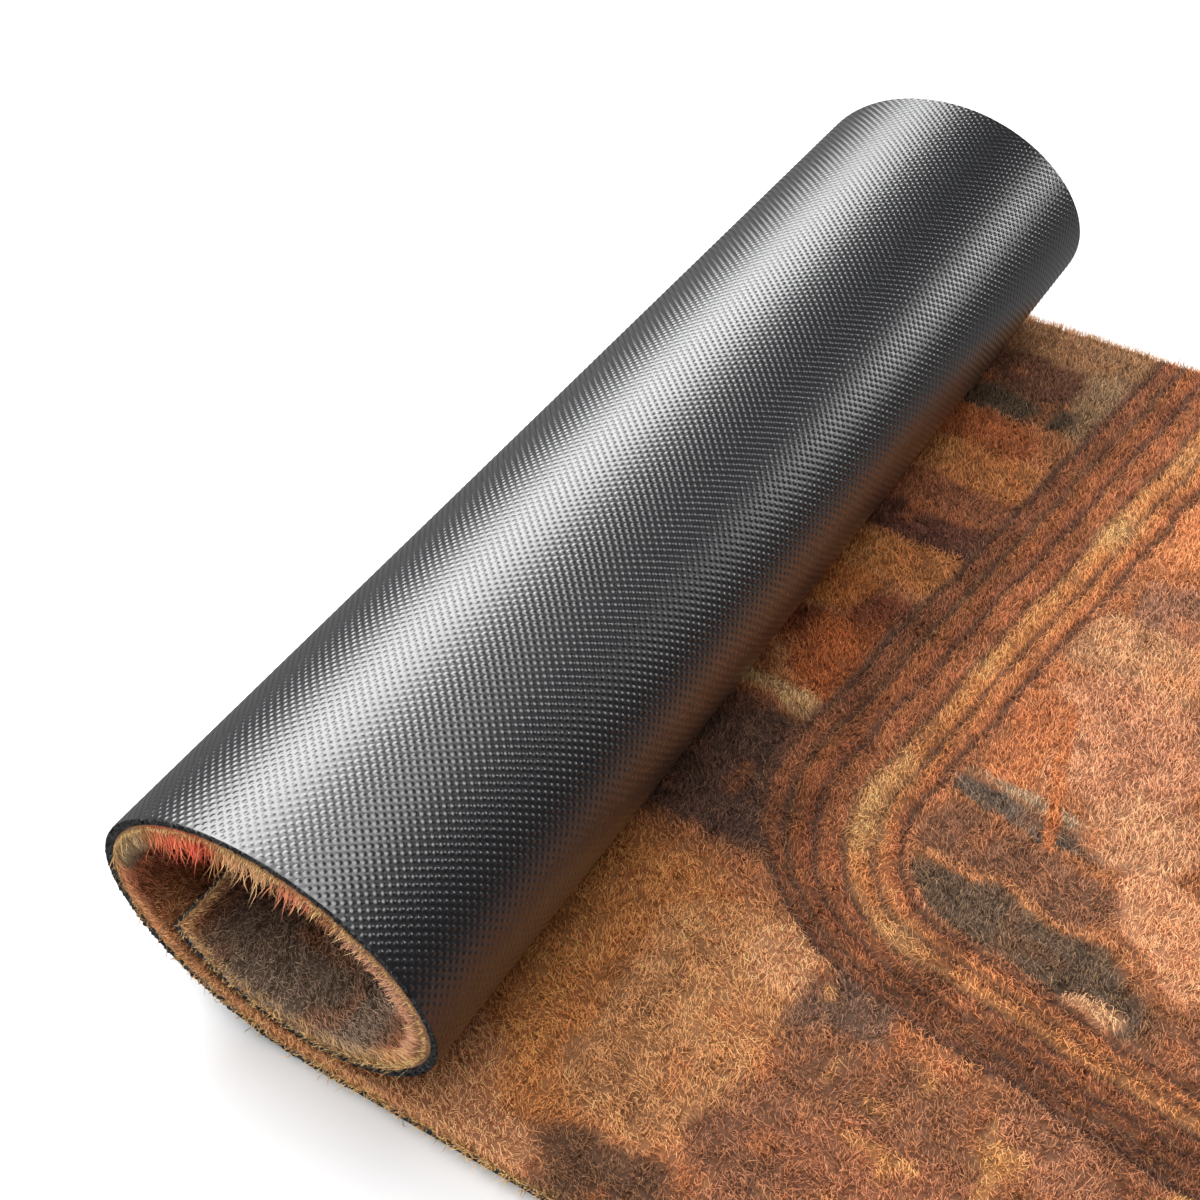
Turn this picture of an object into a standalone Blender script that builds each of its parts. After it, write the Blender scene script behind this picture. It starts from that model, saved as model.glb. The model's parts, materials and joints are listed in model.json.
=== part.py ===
"""A rectangular coir mat on a flexible vinyl backing, partly rolled up, pile inwards.

The mat lies along X with its roll at the -X end, and the roll's axis runs along Y.
The origin is at the middle of the rolled mat's footprint, on the ground.

The backing and the pile are one bonded sheet.  The stretch that lies flat is one
section of each.  The stretch that is rolled is cut into narrow strips, and each
strip hinges on the one before it, along the outer face of the backing.  Every
strip turns the sheet by the same angle, so the strips are short where the roll is
tight and long where it is slack, and the mat is flat when every hinge has opened.
"""

import math

import bpy

# The sheet, in metres.
MAT_LENGTH = 0.610
MAT_WIDTH = 0.406
BACKING_THICKNESS = 0.0024
PILE_HEIGHT = 0.0068

# The roll.  Its bend radius swells at the top and the bottom, where its own weight
# flattens it, and shrinks steadily from the outer turn to the inner one.
ROLL_RADIUS = 0.0547
ROLL_FLATTENING = 0.426
ROLL_LEAN = math.radians(3.8)
STRIP_COUNT = 24
STRIP_TURN = math.radians(17.5)

# Clearances.
LAYER_GAP = 0.0003
STRIP_GAP = 0.0003
TURN_CLEARANCE = 0.0018

MAT_THICKNESS = BACKING_THICKNESS + LAYER_GAP + PILE_HEIGHT
FULL_TURN = 2 * math.pi
# How much turn lies between a corner of the inner turn and the strips below it, at least.
LAPPED_TURN = math.radians(270.0)


def heading(strip):
    """How far the sheet has turned at the middle of a strip."""
    return (strip + 0.5) * STRIP_TURN


def bend_radii(tightening):
    """Every strip's bend radius, which loses this share of itself in each full turn."""
    radii = []
    for strip in range(STRIP_COUNT):
        swell = ROLL_FLATTENING * math.cos(2 * (heading(strip) - ROLL_LEAN))
        shrink = tightening * heading(strip) / FULL_TURN
        radii.append(ROLL_RADIUS * (1 + swell) * (1 - shrink))
    return radii


def hinge_points(radii):
    """The outer face's corners (x, z), from the lift-off at (0, 0) to the free end."""
    points = [(0.0, 0.0)]
    for strip, radius in enumerate(radii):
        x, z = points[-1]
        chord = 2 * radius * math.sin(STRIP_TURN / 2)
        points.append((x - chord * math.cos(heading(strip)), z + chord * math.sin(heading(strip))))
    return points


def turn_gap(points):
    """The least distance from the inner turn's corners to the pile face that they lie on.

    That face is level along the flat stretch, and follows the first strips as they rise.
    """
    most_below = math.ceil(LAPPED_TURN / STRIP_TURN)
    gaps = []
    for corner in range(most_below, len(points)):
        x, z = points[corner]
        gaps.append(z - MAT_THICKNESS)
        for below in range(corner - most_below + 1):
            start_x, start_z = points[below]
            across = (x - start_x) * math.sin(heading(below))
            up = (z - start_z) * math.cos(heading(below))
            gaps.append(across + up - MAT_THICKNESS)
    return min(gaps)


def wound_radii():
    """The bend radii of the roll whose inner turn lies on the pile, TURN_CLEARANCE above it."""
    loose, tight = 0.0, 1.0
    while tight - loose > 1e-6:
        middle = (loose + tight) / 2
        if turn_gap(hinge_points(bend_radii(middle))) > TURN_CLEARANCE:
            tight = middle
        else:
            loose = middle
    return bend_radii(tight)


def clear_scene():
    for item in list(bpy.data.objects):
        bpy.data.objects.remove(item, do_unlink=True)


def finish(name, colour, roughness):
    """A plain Principled material."""
    material = bpy.data.materials.new(name)
    material.use_nodes = True
    shader = material.node_tree.nodes["Principled BSDF"]
    shader.inputs["Base Color"].default_value = (*colour, 1.0)
    shader.inputs["Roughness"].default_value = roughness
    shader.inputs["Metallic"].default_value = 0.0
    return material


def section(name, length, bottom, top, mitres, gaps, place, collection, material):
    """One layer of the sheet: a mitred outline in the sheet's section, drawn out to the mat's width.

    The outline runs towards -X from the section's hinge, with the pile side up.
    mitres are the leans of its two ends, and gaps are how far they stand back.
    place is the hinge's x and z, and the turn of the section about Y.
    """
    outline = [
        (-gaps[0] - bottom * math.tan(mitres[0]), bottom),
        (-gaps[0] - top * math.tan(mitres[0]), top),
        (gaps[1] - length + top * math.tan(mitres[1]), top),
        (gaps[1] - length + bottom * math.tan(mitres[1]), bottom),
    ]
    curve = bpy.data.curves.new(name, "CURVE")
    curve.dimensions = "2D"
    curve.fill_mode = "BOTH"
    curve.extrude = MAT_WIDTH / 2
    spline = curve.splines.new("POLY")
    spline.points.add(len(outline) - 1)
    for point, (x, y) in zip(spline.points, outline):
        point.co = (x, y, 0.0, 1.0)
    spline.use_cyclic_u = True
    curve.materials.append(material)
    item = bpy.data.objects.new(name, curve)
    x, z, turn = place
    item.location = (x, 0.0, z)
    item.rotation_euler = (math.pi / 2, turn, 0.0)
    collection.objects.link(item)


def build_mat():
    collection = bpy.data.collections.new("rolled_coir_mat")
    bpy.context.scene.collection.children.link(collection)
    vinyl = finish("embossed_vinyl", (0.015, 0.015, 0.016), 0.4)
    coir = finish("printed_coir", (0.47, 0.22, 0.09), 0.95)
    layers = (
        ("backing", 0.0, BACKING_THICKNESS, vinyl),
        ("pile", BACKING_THICKNESS + LAYER_GAP, MAT_THICKNESS, coir),
    )

    radii = wound_radii()
    points = hinge_points(radii)
    flat_length = MAT_LENGTH - sum(radii) * STRIP_TURN
    roll_left = min(x for x, _ in points)
    middle = (roll_left + flat_length) / 2
    first_mitre = STRIP_TURN / 4
    mitre = STRIP_TURN / 2

    for layer, bottom, top, material in layers:
        section(
            f"{layer}_flat",
            flat_length,
            bottom,
            top,
            (0.0, first_mitre),
            (0.0, STRIP_GAP / 2),
            (flat_length - middle, 0.0, 0.0),
            collection,
            material,
        )
        for strip in range(STRIP_COUNT):
            x, z = points[strip]
            first = strip == 0
            last = strip == STRIP_COUNT - 1
            section(
                f"{layer}_strip_{strip + 1:02d}",
                math.dist(points[strip], points[strip + 1]),
                bottom,
                top,
                (first_mitre if first else mitre, 0.0 if last else mitre),
                (STRIP_GAP / 2, 0.0 if last else STRIP_GAP / 2),
                (x - middle, z, heading(strip)),
                collection,
                material,
            )


clear_scene()
build_mat()
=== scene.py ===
import json
import math

import bpy
import numpy as np
from mathutils import Matrix, Vector


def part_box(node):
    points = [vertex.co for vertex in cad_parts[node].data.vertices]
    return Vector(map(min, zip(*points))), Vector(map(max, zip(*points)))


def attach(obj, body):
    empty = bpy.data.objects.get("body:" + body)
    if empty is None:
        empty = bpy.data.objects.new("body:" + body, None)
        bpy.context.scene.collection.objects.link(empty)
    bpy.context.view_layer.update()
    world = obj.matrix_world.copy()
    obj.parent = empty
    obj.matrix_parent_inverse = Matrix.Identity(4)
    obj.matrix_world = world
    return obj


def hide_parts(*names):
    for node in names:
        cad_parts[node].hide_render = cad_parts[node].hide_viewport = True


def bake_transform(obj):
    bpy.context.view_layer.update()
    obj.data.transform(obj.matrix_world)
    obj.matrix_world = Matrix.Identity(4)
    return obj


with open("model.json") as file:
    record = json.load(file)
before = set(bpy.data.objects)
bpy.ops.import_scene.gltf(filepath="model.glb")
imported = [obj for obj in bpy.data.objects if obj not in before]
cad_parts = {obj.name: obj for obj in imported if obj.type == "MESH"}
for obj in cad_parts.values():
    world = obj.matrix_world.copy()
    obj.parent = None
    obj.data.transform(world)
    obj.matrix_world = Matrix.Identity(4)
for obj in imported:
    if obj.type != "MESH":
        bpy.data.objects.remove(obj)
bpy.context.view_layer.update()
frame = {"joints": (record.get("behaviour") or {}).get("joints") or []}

scene = bpy.context.scene
scene.view_settings.view_transform = "Standard"

# Camera. It stands over the near corner of the flat stretch and looks down along the roll,
# so that the roll lies across the view and the mat runs out of it on the right.
CAMERA_PLACE = (0.12509, -0.39627, 0.44902)
CAMERA_TURN = math.radians(33.419)
CAMERA_DOWN = math.radians(44.103)
CAMERA_ROLL = math.radians(-1.550)
camera_data = bpy.data.cameras.new("camera")
camera_data.sensor_width = 36.0
camera_data.lens = 57.43
camera = bpy.data.objects.new("camera", camera_data)
scene.collection.objects.link(camera)
camera.matrix_world = (
    Matrix.Translation(CAMERA_PLACE)
    @ Matrix.Rotation(CAMERA_TURN, 4, "Z")
    @ Matrix.Rotation(math.pi / 2 - CAMERA_DOWN, 4, "X")
    @ Matrix.Rotation(CAMERA_ROLL, 4, "Z")
)
scene.camera = camera

# Studio. A white sweep under the mat and a pale room round it. A long soft box lights the roll from
# the back left and a weaker one from the back right. A top light and a low front light fill the pile.
FLOOR_SIZE = 6.0
FLOOR_DROP = 0.0005
SWEEP_START = 0.45
SWEEP_END = 1.3
WHITE = (1.0, 1.0, 1.0, 1)
ROLL_MIDDLE = Vector((-0.107, 0.0, 0.044))


def new_material(name):
    """A new node material, with its nodes, its links and its Principled shader."""
    made = bpy.data.materials.new(name)
    made.use_nodes = True
    nodes = made.node_tree.nodes
    shader = next(n for n in nodes if n.type == "BSDF_PRINCIPLED")
    return made, nodes, made.node_tree.links, shader


def soft_box(name, place, width, height, power, aim=ROLL_MIDDLE):
    """A flat rectangular studio light, turned towards aim."""
    data = bpy.data.lights.new(name, "AREA")
    data.shape = "RECTANGLE"
    data.size = width
    data.size_y = height
    data.energy = power
    lamp = bpy.data.objects.new(name, data)
    scene.collection.objects.link(lamp)
    away = Vector(place) - Vector(aim)
    lamp.matrix_world = Matrix.Translation(place) @ away.to_track_quat("Z", "Y").to_matrix().to_4x4()


floor_mesh = bpy.data.meshes.new("floor")
half = FLOOR_SIZE / 2
floor_corners = [(-half, -half, 0), (half, -half, 0), (half, half, 0), (-half, half, 0)]
floor_mesh.from_pydata(floor_corners, [], [(0, 1, 2, 3)])
floor = bpy.data.objects.new("floor", floor_mesh)
floor.location.z = -FLOOR_DROP
scene.collection.objects.link(floor)
floor_paint, nodes, links, shader = new_material("studio_floor")
shader.inputs["Roughness"].default_value = 0.9
shader.inputs["Specular IOR Level"].default_value = 0.0
# The floor is painted dark where glossy rays meet it, a painted dark reflection of the floor in the
# vinyl. Other rays see it pale.
floor_sheen = nodes.new("ShaderNodeLightPath")
floor_tone_dark_in_reflections = nodes.new("ShaderNodeMix")
floor_tone_dark_in_reflections.data_type = "RGBA"
floor_tone_dark_in_reflections.inputs["A"].default_value = (0.74, 0.74, 0.74, 1)
floor_tone_dark_in_reflections.inputs["B"].default_value = (0.17, 0.17, 0.17, 1)
links.new(floor_sheen.outputs["Is Glossy Ray"], floor_tone_dark_in_reflections.inputs["Factor"])
links.new(floor_tone_dark_in_reflections.outputs["Result"], shader.inputs["Base Color"])
far_white = nodes.new("ShaderNodeEmission")
far_white.inputs["Color"].default_value = WHITE
floor_place = nodes.new("ShaderNodeTexCoord")
spread = nodes.new("ShaderNodeVectorMath")
spread.operation = "LENGTH"
links.new(floor_place.outputs["Object"], spread.inputs[0])
far_share = nodes.new("ShaderNodeMapRange")
far_share.interpolation_type = "SMOOTHSTEP"
far_share.inputs["From Min"].default_value = SWEEP_START
far_share.inputs["From Max"].default_value = SWEEP_END
links.new(spread.outputs["Value"], far_share.inputs["Value"])
seen_share = nodes.new("ShaderNodeMath")
seen_share.operation = "MULTIPLY"
links.new(far_share.outputs["Result"], seen_share.inputs[0])
links.new(floor_sheen.outputs["Is Camera Ray"], seen_share.inputs[1])
sweep = nodes.new("ShaderNodeMixShader")
links.new(seen_share.outputs["Value"], sweep.inputs[0])
links.new(shader.outputs["BSDF"], sweep.inputs[1])
links.new(far_white.outputs["Emission"], sweep.inputs[2])
links.new(sweep.outputs["Shader"], nodes["Material Output"].inputs["Surface"])
floor_mesh.materials.append(floor_paint)

world = bpy.data.worlds.new("studio")
scene.world = world
world.use_nodes = True
nodes, links = world.node_tree.nodes, world.node_tree.links
room = nodes["Background"]
room.inputs["Color"].default_value = (0.84, 0.88, 1.0, 1)
dim = nodes.new("ShaderNodeMapRange")
dim.inputs["To Min"].default_value = 0.12
dim.inputs["To Max"].default_value = 0.055
backdrop = nodes.new("ShaderNodeBackground")
backdrop.inputs["Color"].default_value = WHITE
backdrop.inputs["Strength"].default_value = 1.0
path = nodes.new("ShaderNodeLightPath")
choice = nodes.new("ShaderNodeMixShader")
links.new(path.outputs["Is Glossy Ray"], dim.inputs["Value"])
links.new(dim.outputs["Result"], room.inputs["Strength"])
links.new(path.outputs["Is Camera Ray"], choice.inputs[0])
links.new(room.outputs[0], choice.inputs[1])
links.new(backdrop.outputs[0], choice.inputs[2])
links.new(choice.outputs[0], nodes["World Output"].inputs["Surface"])

soft_box("back_left_light", (-0.99, 0.85, 0.98), 2.2, 0.78, 38, (-0.107, 0.85, 0.044))
soft_box("back_right_light", (1.00, 1.85, 0.86), 1.0, 0.45, 9.5, (-0.107, 1.85, 0.044))
soft_box("top_light", (0.0, -0.25, 2.1), 2.0, 2.0, 50)
soft_box("front_light", (-0.75, -1.45, 0.65), 1.2, 1.0, 15, (-0.12, -0.2, 0.04))

# Backing. Black vinyl, calendered in one sheet with an embossed lattice of small rounded nubs
# on its outer face, then trimmed with the pile on a guillotine, which leaves a rough cut edge.
NUB_PITCH = 0.0029
NUB_HEIGHT = 0.00021
NUB_RADIUS = 0.00098
NUB_INSET = 0.0011
NUB_FADE = 0.0008
WALL_DEPTHS = (0.0006, 0.0012, 0.0019)
TORN_ON_FLOOR = 0.00015
TORN_ON_CURL = 0.0006
LIFT_MARGIN = 0.008
BAKE_RIM = 0.002
CELL = NUB_PITCH / 6
COARSE_CELL = NUB_PITCH / 4
JOINTS = {j["child"]: j for j in frame["joints"]}
STRIPS = sorted(JOINTS)
TURN = math.radians(JOINTS[STRIPS[1]]["range_deg"][1])
HINGES = [np.array([JOINTS[s]["pos_m"][0], JOINTS[s]["pos_m"][2]]) for s in STRIPS]
flat_low, flat_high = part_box("backing_flat")
BACKING_THICKNESS = flat_high.z - flat_low.z
MAT_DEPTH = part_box("pile_flat")[1].z
HALF_WIDTH = flat_high.y
FLAT_END = flat_high.x
FLAT_LENGTH = FLAT_END - HINGES[0][0]
last_heading = (len(STRIPS) - 0.5) * TURN
last_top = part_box("backing_strip_24")[1].z
last_rise = last_top - HINGES[-1][1] - BACKING_THICKNESS * math.cos(last_heading)
last_chord = last_rise / math.sin(last_heading)
HINGES.append(HINGES[-1] + last_chord * np.array([-math.cos(last_heading), math.sin(last_heading)]))
CHORDS = [np.linalg.norm(HINGES[k + 1] - HINGES[k]) for k in range(len(STRIPS))]
RADII = np.array([c / (2 * math.sin(TURN / 2)) for c in CHORDS])
STARTS = FLAT_LENGTH + np.concatenate([[0], np.cumsum(RADII * TURN)])
MAT_LENGTH = STARTS[-1]
headings = np.arange(len(STRIPS)) * TURN
CENTRES = np.array(HINGES[:-1]) + RADII[:, None] * np.stack([np.sin(headings), np.cos(headings)], 1)
LIFT_CUT = NUB_PITCH * int((FLAT_LENGTH - LIFT_MARGIN) / NUB_PITCH)


def on_mat(along, across, depth):
    """Where a point of the flat mat lies once it is rolled: along from its flat end, across it, and
    depth in from the outer face. Beyond the last hinge the sheet runs on round the same arc."""
    along, across, depth = np.broadcast_arrays(along, across, depth)
    k = np.clip(np.searchsorted(STARTS, along, side="right") - 1, 0, len(STRIPS) - 1)
    angle = k * TURN + (along - STARTS[k]) / RADII[k]
    reach = RADII[k] - depth
    x = CENTRES[k, 0] - reach * np.sin(angle)
    z = CENTRES[k, 1] - reach * np.cos(angle)
    flat = along < FLAT_LENGTH
    x = np.where(flat, FLAT_END - along, x)
    z = np.where(flat, depth, z)
    return np.stack([x, across, z], -1)


def snap(value, step):
    """The number of the row that lies nearest to a place."""
    return int(round(value / step))


def cuts(step):
    """Row numbers where one piece of the mat ends and the next begins, a piece for each hinge:
    from a little before the lift-off, then from mid-strip to mid-strip, and on to the free end."""
    middles = [(STARTS[k] + STARTS[k + 1]) / 2 for k in range(len(STRIPS) - 1)]
    return [snap(v, step) for v in [LIFT_CUT, *middles, MAT_LENGTH]]


def way_out(along):
    """The sheet's running direction and its outward direction at a place along it."""
    k = np.clip(np.searchsorted(STARTS, along, side="right") - 1, 0, len(STRIPS) - 1)
    angle = np.where(along < FLAT_LENGTH, 0, k * TURN + (along - STARTS[k]) / RADII[k])
    zero = np.zeros_like(angle)
    run = np.stack([-np.cos(angle), zero, np.sin(angle)], -1)
    out = np.stack([-np.sin(angle), zero, -np.cos(angle)], -1)
    return run, out


def nubs_at(along, across):
    """Height of the nub lattice at a place, and its slopes along and across. The nubs are round
    cosine bumps in staggered rows, and they fade out at the cut edges."""
    height, slope, climb = (np.zeros_like(along) for _ in range(3))
    for offset in (0.0, NUB_PITCH / 2):
        a = along - offset
        a = a - NUB_PITCH * np.round(a / NUB_PITCH)
        b = across + HALF_WIDTH - NUB_INSET - offset
        b = b - NUB_PITCH * np.round(b / NUB_PITCH)
        r = np.maximum(np.hypot(a, b), 1e-9)
        turn = np.minimum(r / NUB_RADIUS, 1.0) * math.pi
        height += NUB_HEIGHT * (1 + np.cos(turn)) / 2
        steep = -NUB_HEIGHT * math.pi * np.sin(turn) / (2 * NUB_RADIUS)
        slope += steep * a / r
        climb += steep * b / r
    fade = np.clip((HALF_WIDTH - np.abs(across)) / NUB_FADE, 0, 1)
    return height * fade, slope * fade, climb * fade


def make_mesh(name, points, faces, normals=None):
    """A smooth-shaded mesh object from arrays of points and of faces, given as lists of one size."""
    mesh = bpy.data.meshes.new(name)
    sizes = np.concatenate([np.full(len(f), f.shape[1]) for f in faces])
    corners = np.concatenate([f.ravel() for f in faces])
    mesh.vertices.add(len(points))
    mesh.vertices.foreach_set("co", points.astype(np.float32).ravel())
    mesh.loops.add(len(corners))
    mesh.loops.foreach_set("vertex_index", corners.astype(np.int32))
    mesh.polygons.add(len(sizes))
    mesh.polygons.foreach_set("loop_start", (np.cumsum(sizes) - sizes).astype(np.int32))
    mesh.update(calc_edges=True)
    mesh.polygons.foreach_set("use_smooth", np.ones(len(sizes), bool))
    mesh.validate()
    if normals is not None:
        mesh.normals_split_custom_set_from_vertices(normals)
    made = bpy.data.objects.new(name, mesh)
    scene.collection.objects.link(made)
    return made


def bake_map(mesh, flat_points, low, size):
    """The flat place of each corner on the mat, as the map that the finish is baked to."""
    uv = mesh.uv_layers.new(name="OFBake")
    corner = np.zeros(len(mesh.loops), np.int32)
    mesh.loops.foreach_get("vertex_index", corner)
    place = (flat_points[corner] - low) / size
    uv.data.foreach_set("uv", np.clip(place, BAKE_RIM, 1 - BAKE_RIM).astype(np.float32).ravel())


def backing_piece(name, first, last, cell, ragged, torn):
    """A closed length of backing from row first to row last: nubs outside, plain inside, and cut
    edges that run a little in and out."""
    rows = np.arange(first, last + 1)
    along = np.minimum(rows * cell, MAT_LENGTH)
    across = np.arange(NUB_INSET - HALF_WIDTH - 3 * cell, HALF_WIDTH, cell)
    across = across[np.abs(across) < HALF_WIDTH - 0.3 * cell]
    across = np.concatenate([[-HALF_WIDTH], across, [HALF_WIDTH]])
    u, v = np.meshgrid(along, across, indexing="ij")
    m, n = u.shape
    height, slope, climb = nubs_at(u, v)
    outer = on_mat(u, v, NUB_HEIGHT - height)
    run, out = way_out(u)
    lean = out - run * slope[..., None] - np.array([0, 1, 0]) * climb[..., None]
    lean /= np.linalg.norm(lean, axis=-1)[..., None]
    walls, wall_lean = [], []
    for side in (-1, 1):
        for depth in (*WALL_DEPTHS, BACKING_THICKNESS):
            reach = ragged.uniform(-0.5, 1.0, m) * torn * (depth < BACKING_THICKNESS)
            walls.append(on_mat(along, side * (HALF_WIDTH + reach), depth))
            rough = ragged.normal(0, 0.8, (m, 3)) + np.array([0.0, side, 0.0])
            wall_lean.append(rough / np.linalg.norm(rough, axis=1)[:, None])
    grid = np.arange(m * n).reshape(m, n)
    wall = [m * n + k * m + np.arange(m) for k in range(8)]
    left, right = [grid[:, 0], *wall[:4]], [grid[:, -1], *wall[4:]]
    quads = [np.stack([grid[:-1, :-1], grid[1:, :-1], grid[1:, 1:], grid[:-1, 1:]], -1).reshape(-1, 4)]
    quads.append(np.stack([wall[3][:-1], wall[7][:-1], wall[7][1:], wall[3][1:]], -1))
    plain = (m - 1) * n
    for a, b in zip(left, left[1:]):
        quads.append(np.stack([a[:-1], b[:-1], b[1:], a[1:]], -1))
    for a, b in zip(right, right[1:]):
        quads.append(np.stack([a[:-1], a[1:], b[1:], b[:-1]], -1))
    caps = []
    for k in (0, m - 1):
        ring = [*grid[k], *[w[k] for w in wall[4:]], *[w[k] for w in wall[3::-1]]]
        caps.append(np.array([ring[::-1] if k else ring]))
    flat = np.zeros((m * n + 8 * m, 2))
    flat[: m * n] = np.stack([u.ravel(), v.ravel()], 1)
    for k in range(8):
        flat[m * n + k * m : m * n + (k + 1) * m, 0] = along
        flat[m * n + k * m : m * n + (k + 1) * m, 1] = HALF_WIDTH * (-1 if k < 4 else 1)
    points = np.concatenate([outer.reshape(-1, 3), *walls])
    normals = np.concatenate([lean.reshape(-1, 3), *wall_lean])
    made = make_mesh(name, points, [np.concatenate(quads), *caps], normals)
    bake_map(made.data, flat, [along[0], -HALF_WIDTH], [along[-1] - along[0], 2 * HALF_WIDTH])
    cut_side = np.zeros(len(made.data.polygons), np.int32)
    cut_side[plain:] = 1
    made.data.polygons.foreach_set("material_index", cut_side)
    return made


vinyl, nodes, links, shader = new_material("embossed_vinyl")
shader.inputs["Base Color"].default_value = (0.003, 0.003, 0.004, 1)
shader.inputs["IOR"].default_value = 1.65
shader.inputs["Specular IOR Level"].default_value = 1.0
grain = nodes.new("ShaderNodeTexNoise")
grain.inputs["Scale"].default_value = 900
grain.inputs["Detail"].default_value = 4
where = nodes.new("ShaderNodeTexCoord")
links.new(where.outputs["Object"], grain.inputs["Vector"])
gloss = nodes.new("ShaderNodeMapRange")
gloss.inputs["To Min"].default_value = 0.24
gloss.inputs["To Max"].default_value = 0.36
links.new(grain.outputs["Fac"], gloss.inputs["Value"])
links.new(gloss.outputs["Result"], shader.inputs["Roughness"])
pores = nodes.new("ShaderNodeBump")
pores.inputs["Strength"].default_value = 0.18
pores.inputs["Distance"].default_value = 0.0002
links.new(grain.outputs["Fac"], pores.inputs["Height"])
links.new(pores.outputs["Normal"], shader.inputs["Normal"])

cut_vinyl, nodes, links, shader = new_material("cut_vinyl_edge")
shader.inputs["Specular IOR Level"].default_value = 0.6
tear = nodes.new("ShaderNodeTexNoise")
tear.inputs["Scale"].default_value = 1400
tear.inputs["Detail"].default_value = 5
where = nodes.new("ShaderNodeTexCoord")
links.new(where.outputs["Object"], tear.inputs["Vector"])
soot = nodes.new("ShaderNodeValToRGB")
soot.color_ramp.elements[0].position = 0.35
soot.color_ramp.elements[0].color = (0.002, 0.002, 0.002, 1)
soot.color_ramp.elements[1].position = 0.75
soot.color_ramp.elements[1].color = (0.025, 0.025, 0.027, 1)
links.new(tear.outputs["Fac"], soot.inputs["Fac"])
links.new(soot.outputs["Color"], shader.inputs["Base Color"])
shader.inputs["Roughness"].default_value = 0.45
torn = nodes.new("ShaderNodeBump")
torn.inputs["Strength"].default_value = 0.8
torn.inputs["Distance"].default_value = 0.0005
links.new(tear.outputs["Fac"], torn.inputs["Height"])
links.new(torn.outputs["Normal"], shader.inputs["Normal"])

ragged = np.random.default_rng(11)
row_cuts = cuts(CELL)
backing = {}
floor_rows = snap(LIFT_CUT, COARSE_CELL)
made = backing_piece("backing_on_floor", 0, floor_rows, COARSE_CELL, ragged, TORN_ON_FLOOR)
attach(made, "flat_stretch")
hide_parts("backing_flat")
backing["flat_stretch"] = (made, LIFT_CUT)
for k, strip in enumerate(STRIPS):
    name = "backing_curl_%02d" % (k + 1)
    made = backing_piece(name, row_cuts[k], row_cuts[k + 1], CELL, ragged, TORN_ON_CURL)
    ends = on_mat(np.array([row_cuts[k] * CELL, (STARTS[k] + STARTS[k + 1]) / 2]), 0.0, 0.0)
    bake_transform(made)
    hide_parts("backing_" + strip)
    backing[strip] = (made, (row_cuts[k + 1] - row_cuts[k]) * CELL)
for made, length in backing.values():
    made.data.materials.append(vinyl)
    made.data.materials.append(cut_vinyl)

# Pile. Short coir-like fibre, stood on end in the backing and sheared level, then printed from
# above, so that the tips take the ink. The roots and their bed get painted shade, and the tips a
# painted highlight. The cut sides stay natural.
FIBRES_PER_CM2 = 180
BENT_SHARE = 0.25
FRINGE_PER_MM = 14
PILE_LOW = 0.0027
BED_TOP = 0.0074
BED_STEP = 0.00145
BED_INSET = 0.0003
# Painted shade: the share of the ink that the bed takes, dark, as the shade among the fibres.
BED_PAINTED_SHADE = 0.32
ROOT_DEPTH = 0.0056
SIDE_INSET = 0.0004
SIDE_UPRIGHT = 0.004
FRINGE_DEPTH = 0.0014


def tone(code):
    """A colour written as six hex digits, as linear light."""
    parts = np.array([int(code[k : k + 2], 16) for k in (0, 2, 4)]) / 255
    return np.where(parts <= 0.04045, parts / 12.92, ((parts + 0.055) / 1.055) ** 2.4)


def mottle(x, y, size, seed):
    """Smooth random cloud of about that size, from -1 to 1."""
    table = np.random.default_rng(seed).uniform(-1, 1, (64, 64))
    u, v = x / size + 17.3, y / size + 9.1
    i, j = np.floor(u).astype(int), np.floor(v).astype(int)
    s, t = u - i, v - j
    s, t = s * s * (3 - 2 * s), t * t * (3 - 2 * t)
    a, b = table[i % 64, j % 64], table[(i + 1) % 64, j % 64]
    c, d = table[i % 64, (j + 1) % 64], table[(i + 1) % 64, (j + 1) % 64]
    return (a * (1 - s) + b * s) * (1 - t) + (c * (1 - s) + d * s) * t


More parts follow.
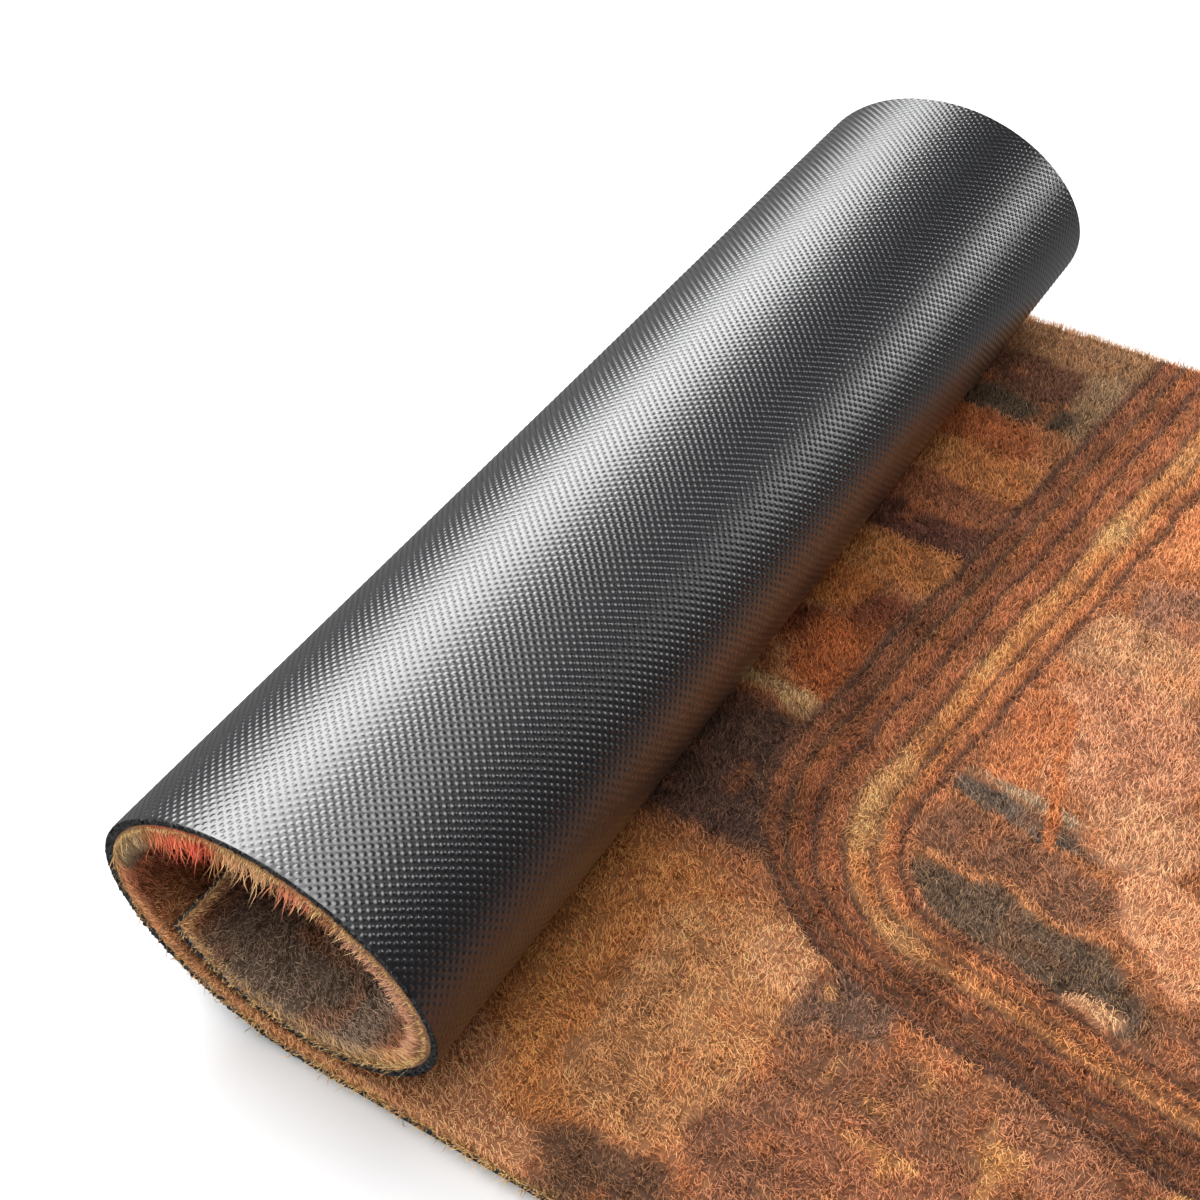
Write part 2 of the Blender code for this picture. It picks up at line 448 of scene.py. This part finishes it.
PATCHES = [
    ("7e5a3e", -30, 190, 54, 18, 0),
    ("5e3c2c", -54, 167, 28, 12, 0),
    ("7e6046", -14, 160, 20, 24, 0),
    ("4a3a2c", -58, 149, 30, 8, -8),
    ("8a4e2e", -56, 129, 24, 10, -6),
    ("a0663c", -34, 108, 34, 13, -6),
    ("7a4a32", -45, 89, 44, 9, 0),
    ("583428", -50, 73, 40, 8, 0),
    ("9a6238", -50, 51, 28, 12, 6),
    ("94592f", -60, 30, 15, 10, 0),
    ("74402a", -37, 26, 16, 10, 20),
    ("663622", -62, 8, 15, 9, 0),
    ("884a28", -40, 0, 22, 20, 0),
    ("a87e58", -54, -23, 28, 3, 0),
    ("4c342a", -54, -56, 36, 28, 0),
    ("a4693c", -52, -140, 36, 50, 0),
    ("a8744c", -18, -140, 24, 42, 0),
    ("b8805a", -2, -110, 14, 12, 0),
    ("66442f", -12, -193, 24, 11, 4),
    ("d28254", 24, 122, 14, 26, 0),
    ("8a5f48", 38, 74, 12, 17, 0),
    ("a07252", 36, 48, 24, 16, 0),
    ("a87254", 44, 14, 28, 26, 0),
    ("a0623e", 20, 0, 10, 24, 0),
    ("5c4a3e", 30, -30, 30, 5, -5),
    ("8c7058", 34, -22, 26, 2.6, -5),
    ("a0603a", 36, -16, 2.4, 38, 14),
    ("a87656", 62, -18, 16, 16, 0),
    ("cc8c66", 84, -48, 22, 14, -28),
    ("744c36", 36, -47, 34, 10, -6),
    ("5a4434", 46, -72, 44, 13, -12),
    ("9c6642", 42, -58, 38, 1.8, -9),
    ("c08c68", 68, -86, 15, 4, 24),
    ("6c4c3b", 18, -120, 14, 15, 0),
    ("9a6240", 52, -110, 24, 10, 10),
    ("7f5238", 38, -136, 32, 14, 0),
    ("8a5a40", 82, -126, 18, 14, 0),
    ("7c5038", 12, -166, 12, 20, 10),
    ("8a573c", 48, -160, 28, 16, 0),
    ("b8774c", 122, 110, 46, 60, 0),
    ("6a5446", 128, 30, 40, 22, -10),
    ("7a4e36", 122, -100, 34, 40, 0),
    ("5c4436", 120, -190, 44, 22, 0),
    ("74604c", -203, -180, 15, 40, 0),
    ("a4664a", -170, -140, 24, 80, 0),
    ("de5642", -236, -192, 13, 22, 0),
    ("ecb488", -260, -198, 9, 13, 0),
    ("c8705a", -277, -199, 6, 8, 0),
    ("ac7c54", -268, -130, 24, 40, 0),
    ("a87660", -325, -150, 36, 84, 0),
    ("826c5c", -405, -50, 50, 190, 0),
    ("80553c", -402, -110, 22, 34, 0),
    ("a87446", -150, -20, 60, 60, 0),
    ("b47a54", -110, -190, 62, 22, 0),
    ("b27a56", -62, -198, 34, 9, 0),
    ("5e4636", -150, 110, 60, 40, 12),
    ("9a5c34", -230, 60, 46, 70, -8),
    ("6a4028", -310, 70, 34, 70, 6),
]
BAND_STOPS = [
    (-30, "9a6040"), (-27, "9a6040"), (-25.2, "4e3426"), (-23, "9a5c3a"), (-19.5, "b07044"),
    (-17.6, "56382a"), (-15.5, "ac6c40"), (-11, "b67a4c"), (-8.6, "5c3c2a"), (-6.5, "94583a"),
    (-1, "8a5434"), (1.2, "503428"), (3.5, "804a30"), (8, "865030"), (10.6, "563a2a"), (13, "7c4a30"),
    (16.5, "7a4a32"), (18.5, "4c3226"), (20, "6a4634"), (22, "5a4032"),
]
BAND_MIDDLE, BAND_REACH, BAND_EDGE = -3.5, 25.5, 2.5
BAND_CORNER = 55
BAND_LEAN = math.radians(-7)
BANDS = (((98.7, 130.0), (100, 236)), ((-420.0, 120.0), (110, 230)))
INK_GAIN = 2.05
INK_TINT = np.array([0.95, 1.0, 0.98])
BRIGHTEST_INK = 0.9
DARKEST_INK = 0.004
# Beside the roll the ink is painted lighter, a painted light against the shade that the roll casts
# there: places along the flat stretch in mm, and the gain at each.
PAINTED_LIGHT_PLACES_BY_ROLL = (-140, -85, -66, -45)
PAINTED_LIGHT_GAIN_BY_ROLL = (1.0, 1.6, 1.6, 1.0)


def band_place(x, y, centre, half, corner, lean):
    """Distance of a place from the outline of a leaning rectangle with round corners, in mm."""
    c, s = math.cos(lean), math.sin(lean)
    p = np.abs((x - centre[0]) * c + (y - centre[1]) * s) - (half[0] - corner)
    q = np.abs(-(x - centre[0]) * s + (y - centre[1]) * c) - (half[1] - corner)
    return np.hypot(np.maximum(p, 0), np.maximum(q, 0)) - corner + np.minimum(np.maximum(p, q), 0)


def printed(along, across):
    """The ink at a place of the mat: soft patches of brown, tan and rose, and nested round-cornered
    bands over them. It is a plain abstract design, painted lighter beside the roll against the roll's
    shade."""
    x, y = (FLAT_END - along) * 1000, across * 1000
    wx = x + 3.0 * mottle(x, y, 14, 1) + 1.2 * mottle(x, y, 5, 2)
    wy = y + 3.0 * mottle(x, y, 14, 3) + 1.2 * mottle(x, y, 5, 4)
    ink = np.tile(tone("8e5a3a"), (len(x), 1))
    for code, cx, cy, rx, ry, degrees in PATCHES:
        c, s = math.cos(math.radians(degrees)), math.sin(math.radians(degrees))
        p = ((wx - cx) * c + (wy - cy) * s) / rx
        q = (-(wx - cx) * s + (wy - cy) * c) / ry
        d = (np.abs(p) ** 3 + np.abs(q) ** 3) ** (1 / 3)
        share = np.clip((1.12 - d) / 0.28, 0, 1)
        share = (share * share * (3 - 2 * share))[:, None]
        ink = ink * (1 - share) + tone(code) * share
    blotch = mottle(x, y, 13, 5) * 0.35 + mottle(x, y, 6, 6) * 0.45 + mottle(x, y, 3, 10) * 0.35
    ink = ink * (1 + 0.36 * blotch)[:, None]
    warm = np.clip(mottle(x, y, 9, 7) - 0.3, 0, 1)[:, None]
    ink = ink * (1 - 0.5 * warm) + tone("b4693c") * 0.5 * warm
    spots = np.clip(2 * mottle(x, y, 6, 12) - 1, 0, 1)[:, None] * ((y < -100) & (x > 5))[:, None]
    ink = ink * (1 - 0.8 * spots) + tone("bc8450") * 0.8 * spots
    for centre, half in BANDS:
        d = band_place(wx * 0.3 + x * 0.7, wy * 0.3 + y * 0.7, centre, half, BAND_CORNER, BAND_LEAN)
        d *= 1 + 0.8 * np.clip((-60 - y) / 50, 0, 1)
        stops = np.array([b[0] for b in BAND_STOPS], float)
        inks = np.array([tone(b[1]) for b in BAND_STOPS])
        band = np.stack([np.interp(d, stops, inks[:, k]) for k in range(3)], 1)
        shade = (1 + 0.30 * mottle(x, y, 9, 8)) * (1 - 0.25 * np.clip((-60 - y) / 30, 0, 1))
        band = band * shade[:, None]
        glow = np.clip(mottle(x, y, 26, 9) * 1.6 - 0.2, 0, 1) * np.exp(-(((d + 13) / 5) ** 2))
        band = band * (1 - glow[:, None]) + tone("b88a5c") * glow[:, None]
        share = np.clip((BAND_REACH - np.abs(d - BAND_MIDDLE)) / BAND_EDGE, 0, 1)[:, None]
        ink = ink * (1 - share) + band * share
    # Painted light: the ink is made lighter beside the roll, to offset the shade that the roll casts
    # there.
    ink = ink * np.interp(x, PAINTED_LIGHT_PLACES_BY_ROLL, PAINTED_LIGHT_GAIN_BY_ROLL)[:, None]
    ink = ink * INK_GAIN * INK_TINT
    return np.maximum(ink / np.maximum(ink.max(axis=1) / BRIGHTEST_INK, 1)[:, None], DARKEST_INK)


def fibre_set(chance, along, across, depth, length, lean, way, thick):
    """Spindle-shaped fibres: a root, a bent middle with three sides, and a tip. Each argument after
    the first is one value a fibre. Returns points in the flat mat, and faces."""
    n = len(along)
    run = length * np.sin(lean)
    rise = length * np.cos(lean)
    bow = chance.normal(0, 0.10, (n, 2)) * length[:, None]
    mid_along = along + 0.55 * run * np.cos(way) + bow[:, 0]
    mid_across = across + 0.55 * run * np.sin(way) + bow[:, 1]
    tip = np.stack([along + run * np.cos(way), across + run * np.sin(way)], 1)
    points = np.zeros((n, 5, 3))
    points[:, 0] = np.stack([along, across, depth], 1)
    turn = chance.uniform(0, 2 * math.pi, n)
    for k in range(3):
        a = turn + k * 2 * math.pi / 3
        points[:, 1 + k, 0] = mid_along + thick * np.cos(a)
        points[:, 1 + k, 1] = mid_across + thick * np.sin(a)
        points[:, 1 + k, 2] = depth + 0.62 * rise
    points[:, 4] = np.stack([tip[:, 0], tip[:, 1], depth + rise], 1)
    first = (np.arange(n) * 5)[:, None]
    faces = []
    for k in range(3):
        a, b = 1 + k, 1 + (k + 1) % 3
        faces.append(first + np.array([[0, a, b]]))
        faces.append(first + np.array([[4, b, a]]))
    return points, np.concatenate(faces)


def sliver_set(chance, along, across, depth, length, lean, way, thick):
    """Straight fibres, as slim closed slivers: a short edge at the root and one across it at the
    tip. Each argument after the first is one value a fibre."""
    n = len(along)
    turn = chance.uniform(0, math.pi, n)
    points = np.zeros((n, 4, 3))
    for k, (far, a) in enumerate(((0, 0), (0, math.pi), (1, math.pi / 2), (1, -math.pi / 2))):
        run = far * length * np.sin(lean)
        points[:, k, 0] = along + run * np.cos(way) + thick * np.cos(turn + a)
        points[:, k, 1] = across + run * np.sin(way) + thick * np.sin(turn + a)
        points[:, k, 2] = depth + far * length * np.cos(lean)
    first = (np.arange(n) * 4)[:, None]
    corners = ((0, 2, 1), (0, 1, 3), (0, 3, 2), (1, 2, 3))
    return points, np.concatenate([first + np.array([c]) for c in corners])


def shear_heights(chance, n):
    """Where the shears cut the tips, as heights above the ground of the flat mat."""
    return MAT_DEPTH + np.clip(chance.normal(0.0001, 0.0003, n), -0.0008, 0.0008)


def fibres_on(start, end, chance, density, bent):
    """The standing fibres between two places along the mat, with their ink, painted darker at the root
    and lighter at the tip as painted shade and painted highlight.
    """
    n = int((end - start) * 2 * HALF_WIDTH * 1e4 * density)
    along = chance.uniform(start, end, n)
    across = chance.uniform(-HALF_WIDTH + SIDE_INSET, HALF_WIDTH - SIDE_INSET, n)
    x, y = along * 1000, across * 1000
    depth = np.full(n, ROOT_DEPTH)
    lean = np.radians(np.clip(30 + 9 * mottle(x, y, 6, 21) + chance.normal(0, 15, n), 2, 60))
    way = 3.5 * mottle(x, y, 8, 22) + chance.normal(0, 1.4, n)
    edge = np.minimum(HALF_WIDTH - np.abs(across), SIDE_UPRIGHT) / SIDE_UPRIGHT
    lean *= 0.35 + 0.65 * edge
    length = (shear_heights(chance, n) - depth) / np.cos(lean)
    # Colour shares from root to tip: painted shade low in the pile, painted highlight at the tips.
    if bent:
        length *= 1.06
        thick = chance.uniform(0.00011, 0.00017, n)
        points, faces = fibre_set(chance, along, across, depth, length, lean, way, thick)
        shade_and_highlight_shares = (0.35, 0.85, 0.85, 0.85, 1.35)
    else:
        thick = chance.uniform(0.00009, 0.00014, n)
        points, faces = sliver_set(chance, along, across, depth, length, lean, way, thick)
        shade_and_highlight_shares = (0.35, 0.35, 1.25, 1.25)
    run = length * np.sin(lean)
    ink = printed(along + run * np.cos(way), across + run * np.sin(way))
    light = np.clip(chance.lognormal(0, 0.17, n), 0.5, 1.9)
    straw = chance.random(n) < 0.03
    ink = np.where(straw[:, None], 0.6 * ink + 0.4 * tone("d8a868"), ink * light[:, None])
    colour = np.ones((n, len(shade_and_highlight_shares), 4))
    for k, share in enumerate(shade_and_highlight_shares):
        colour[:, k, :3] = np.clip(ink * share, 0, 1)
    return points.reshape(-1, 3), faces, colour.reshape(-1, 4)


def fringe_at(along, across, outward, chance):
    """Fibres of the pile's cut sides, at the given places: straw-coloured at the root, where no ink
    reached, and some pulled out past the edge. Their tips are painted lighter and the rest darker, as
    a painted highlight and painted shade."""
    n = len(along)
    x = (FLAT_END - along) * 1000
    tuft = (across < 0) & (x < -224) & (x > -276)
    loose = np.where(tuft, 0.16, 0.04 + 0.09 * (along < FLAT_LENGTH))
    pick = chance.random(n)
    stray = pick < loose
    stub = pick > 0.5
    depth = np.full(n, PILE_LOW + 0.0002)
    out_lean = np.where(tuft, chance.uniform(8, 50, n), chance.uniform(30, 85, n))
    lean = np.radians(np.where(stray, out_lean, np.abs(chance.normal(0, 10, n))))
    way = outward + chance.normal(0, 0.8, n)
    length = (shear_heights(chance, n) - depth) / np.cos(np.minimum(lean, 0.6))
    out_length = np.where(tuft, chance.uniform(0.0075, 0.0115, n), chance.uniform(0.0035, 0.0075, n))
    length = np.where(stray, out_length, length)
    stub_reach = np.where((x < -345) | (x > -150), 0.0016, 0.0)
    length = np.where(stub, chance.uniform(0.0013, 0.0027, n) + stub_reach, length)
    lean = np.where(stub, np.radians(chance.uniform(15, 65, n)), lean)
    thick = np.where(stub, chance.uniform(0.00010, 0.00014, n), chance.uniform(0.00012, 0.00019, n))
    points, faces = fibre_set(chance, along, across, depth, length, lean, way, thick)
    vary = np.clip(chance.lognormal(0, 0.25, n), 0.5, 1.7)[:, None]
    gold = tone("ffcf8c") * vary
    ink = printed(along, across) * (0.9 + 0.2 * vary)
    bare = np.clip(0.20 + 0.25 * mottle(along * 1000, across * 1000, 5, 33), 0.0, 0.9)
    bare = np.where(x < -345, 0.5, bare)
    bare = np.where(stub | (stray & ~tuft), 0.95, bare)
    colour = np.ones((n, 5, 4))
    # Painted shade and highlight: each fringe fibre is darkened below its tip and lightened at the
    # tip.
    for k, inked in enumerate((0.6 - 0.6 * bare, 1 - bare, 1 - bare, 1 - bare, 1 - 0.8 * bare)):
        share = inked[:, None]
        colour[:, k, :3] = np.clip((gold * (1 - share) + ink * share) * (0.8 + 0.35 * (k == 4)), 0, 1)
    return points.reshape(-1, 3), faces, colour.reshape(-1, 4)


def fringes_on(start, end, chance):
    """The fringes of one length of pile: both sides, and the mat's own two ends."""
    places = []
    for side in (-1, 1):
        n = int((end - start) * 1000 * FRINGE_PER_MM)
        along = chance.uniform(start, end, n)
        across = side * (HALF_WIDTH - chance.uniform(0.0, FRINGE_DEPTH, n))
        places.append((along, across, side * math.pi / 2))
    for stop, inward, outward in ((0.0, 1, math.pi), (MAT_LENGTH, -1, 0.0)):
        if start <= stop <= end:
            n = int(2 * HALF_WIDTH * 1000 * FRINGE_PER_MM)
            along = stop + inward * chance.uniform(0.0, FRINGE_DEPTH, n)
            places.append((along, chance.uniform(-HALF_WIDTH, HALF_WIDTH, n), outward))
    return [fringe_at(*place, chance) for place in places]


def bed_of(first, last):
    """The closed, lumpy bed of crowded roots that the fibres stand in, between two rows. Its ink is
    darkened as painted shade deep in the pile.
    """
    rows = np.arange(first, last + 1)
    lines = snap(2 * HALF_WIDTH, BED_STEP) + 1
    across = np.linspace(-HALF_WIDTH + BED_INSET, HALF_WIDTH - BED_INSET, lines)
    along = np.minimum(rows * BED_STEP, MAT_LENGTH - BED_INSET)
    along = np.maximum(along, BED_INSET)
    u, v = np.meshgrid(along, across, indexing="ij")
    lump = 0.0007 * mottle(u * 1000, v * 1000, 3.1, 31) + 0.0005 * mottle(u * 1000, v * 1000, 1.7, 32)
    upper = np.stack([u, v, BED_TOP + lump], -1)
    lower = np.stack([u, v, np.full(u.shape, PILE_LOW)], -1)
    m, n = u.shape
    top = np.arange(m * n).reshape(m, n)
    low = [m * n + np.arange(m), m * n + m + np.arange(m)]
    points = np.concatenate([upper.reshape(-1, 3), lower[:, 0], lower[:, -1]])
    quads = [np.stack([top[:-1, :-1], top[:-1, 1:], top[1:, 1:], top[1:, :-1]], -1).reshape(-1, 4)]
    quads.append(np.stack([top[:-1, 0], top[1:, 0], low[0][1:], low[0][:-1]], -1))
    quads.append(np.stack([top[:-1, -1], low[1][:-1], low[1][1:], top[1:, -1]], -1))
    quads.append(np.stack([low[0][:-1], low[0][1:], low[1][1:], low[1][:-1]], -1))
    start_cap = np.array([[*top[0], low[1][0], low[0][0]][::-1]])
    end_cap = np.array([[*top[-1], low[1][-1], low[0][-1]]])
    # The bed takes the ink darkened: painted shade deep in the pile.
    ink = printed(points[:, 0], points[:, 1]) * BED_PAINTED_SHADE
    ink[m * n :] += tone("b07a44") * 0.3
    colour = np.ones((len(points), 4))
    colour[:, :3] = ink
    return points, [np.concatenate(quads), start_cap, end_cap], colour


def pile_piece(name, first, last, chance):
    """One length of pile, from bed row first to row last: bed, standing fibres and side fringes."""
    points, faces, colour = bed_of(first, last)
    start, end = first * BED_STEP, min(last * BED_STEP, MAT_LENGTH)
    sets = [fibres_on(start, end, chance, FIBRES_PER_CM2 * (1 - BENT_SHARE), False)]
    sets.append(fibres_on(start, end, chance, FIBRES_PER_CM2 * BENT_SHARE, True))
    sets += fringes_on(start, end, chance)
    all_points, all_colours, triangles = [points], [colour], []
    count = len(points)
    for p, f, c in sets:
        all_points.append(p)
        all_colours.append(c)
        triangles.append(f + count)
        count += len(p)
    flat = np.concatenate(all_points)
    rolled = on_mat(flat[:, 0], flat[:, 1], flat[:, 2])
    made = make_mesh(name, rolled, [*faces, np.concatenate(triangles)])
    paint = made.data.attributes.new("ink", "FLOAT_COLOR", "POINT")
    paint.data.foreach_set("color", np.concatenate(all_colours).astype(np.float32).ravel())
    bake_map(made.data, flat[:, :2], [start, -HALF_WIDTH], [end - start, 2 * HALF_WIDTH])
    return made


coir, nodes, links, shader = new_material("printed_coir")
shader.inputs["Specular IOR Level"].default_value = 0.25
shader.inputs["Roughness"].default_value = 0.7
ink = nodes.new("ShaderNodeAttribute")
ink.attribute_name = "ink"
where = nodes.new("ShaderNodeTexCoord")
fleck = nodes.new("ShaderNodeTexNoise")
fleck.inputs["Scale"].default_value = 700
links.new(where.outputs["Object"], fleck.inputs["Vector"])
wear = nodes.new("ShaderNodeMapRange")
wear.inputs["To Min"].default_value = 0.75
wear.inputs["To Max"].default_value = 1.25
links.new(fleck.outputs["Fac"], wear.inputs["Value"])
worn = nodes.new("ShaderNodeVectorMath")
worn.operation = "SCALE"
links.new(ink.outputs["Color"], worn.inputs["Vector"])
links.new(wear.outputs["Result"], worn.inputs["Scale"])
links.new(worn.outputs["Vector"], shader.inputs["Base Color"])

chance = np.random.default_rng(5)
bed_cuts = cuts(BED_STEP)
FLAT_PANELS = 6
piles = {"flat_stretch": []}
panel_cuts = [round(bed_cuts[0] * k / FLAT_PANELS) for k in range(FLAT_PANELS + 1)]
for k in range(FLAT_PANELS):
    made = pile_piece("pile_on_floor_%d" % (k + 1), panel_cuts[k], panel_cuts[k + 1], chance)
    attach(made, "flat_stretch")
    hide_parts("pile_flat")
    piles["flat_stretch"].append(made)
for k, strip in enumerate(STRIPS):
    made = pile_piece("pile_curl_%02d" % (k + 1), bed_cuts[k], bed_cuts[k + 1], chance)
    ends = on_mat(np.array([bed_cuts[k] * BED_STEP, (STARTS[k] + STARTS[k + 1]) / 2]), 0.0, 0.0)
    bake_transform(made)
    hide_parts("pile_" + strip)
    piles[strip] = [made]
for group in piles.values():
    for made in group:
        made.data.materials.append(coir)

# The sheet as cut. The backing is one sheet with the pile fixed to it, listed a length at a time.
# A length under 10 mm, in the tightest bends, goes with the one before it.
SHORTEST = 0.010
lengths = []
for body, (made, length) in backing.items():
    if length < SHORTEST:
        lengths[-1][2].extend([made, *piles[body]])
    else:
        lengths.append([made, length, list(piles[body])])
